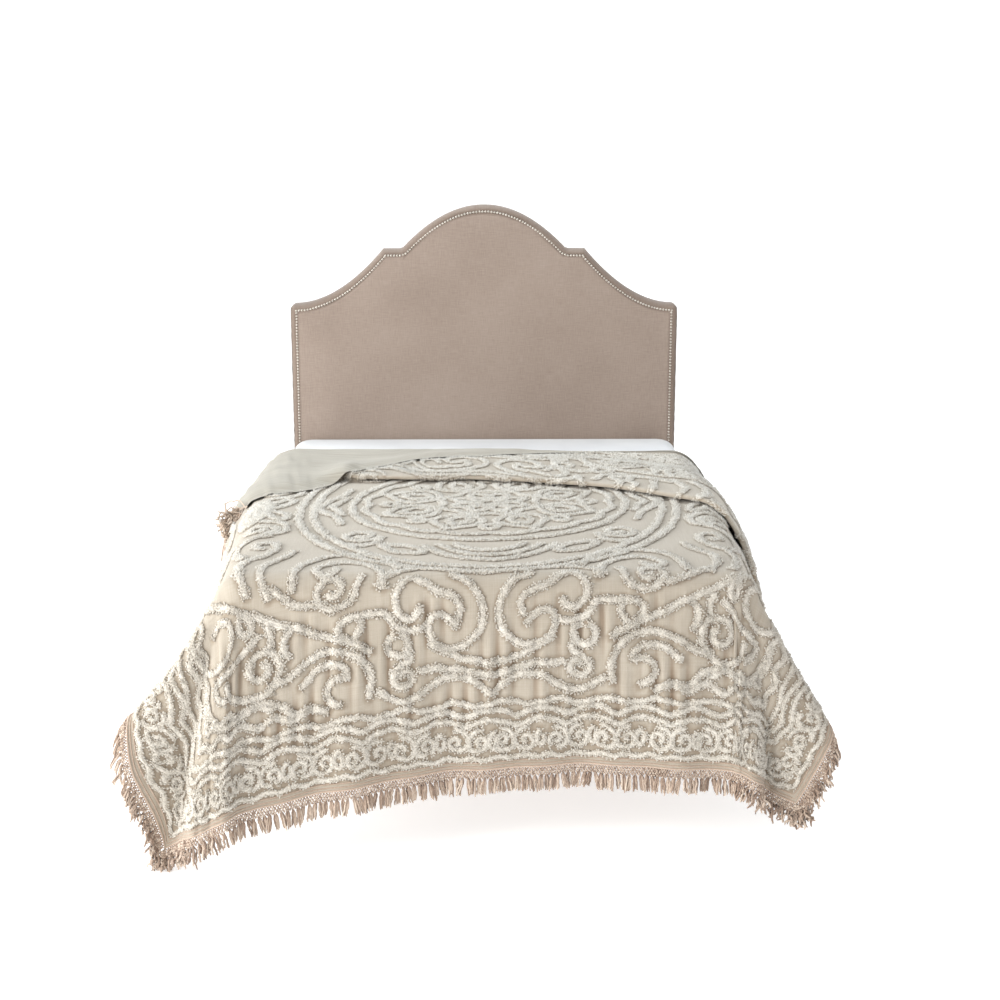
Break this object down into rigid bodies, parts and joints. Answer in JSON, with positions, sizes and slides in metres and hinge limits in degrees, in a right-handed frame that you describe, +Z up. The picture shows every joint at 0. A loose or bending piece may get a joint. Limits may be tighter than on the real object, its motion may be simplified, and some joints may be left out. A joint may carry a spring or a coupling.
{
  "type": "tufted chenille bedspread on a queen bed with an upholstered headboard",
  "caption": "Fringed chenille bedspread draped over a queen bed, its head end turned back, with an arched upholstered headboard.",
  "frame": {"origin": "middle of the footprint, on the floor", "axes": "+Z up, +Y along the bed towards the headboard, +X to the right seen from the foot"},
  "size_m": [2.1304, 2.4075, 1.744],
  "materials": {
    "linen_ground": "matt plain-weave greige cotton under cream chenille tufting",
    "fringe_yarn": "matt pink-tan cotton yarn, knotted",
    "white_ticking": "matt white cotton",
    "dark_wood": "dark stained, satin",
    "taupe_upholstery": "matt taupe linen weave"
  },
  "bodies": {
    "root": {"bedspread": "linen_ground", "fringe_foot": "fringe_yarn", "fringe_left": "fringe_yarn", "fringe_right": "fringe_yarn", "fringe_pleat": "fringe_yarn", "fringe_turned": "fringe_yarn", "mattress": "white_ticking", "box_base": "white_ticking", "leg_foot_left": "dark_wood", "leg_foot_right": "dark_wood", "leg_head_left": "dark_wood", "leg_head_right": "dark_wood", "headboard": "taupe_upholstery", "headboard_post_left": "dark_wood", "headboard_post_right": "dark_wood"}
  },
  "joints": []
}
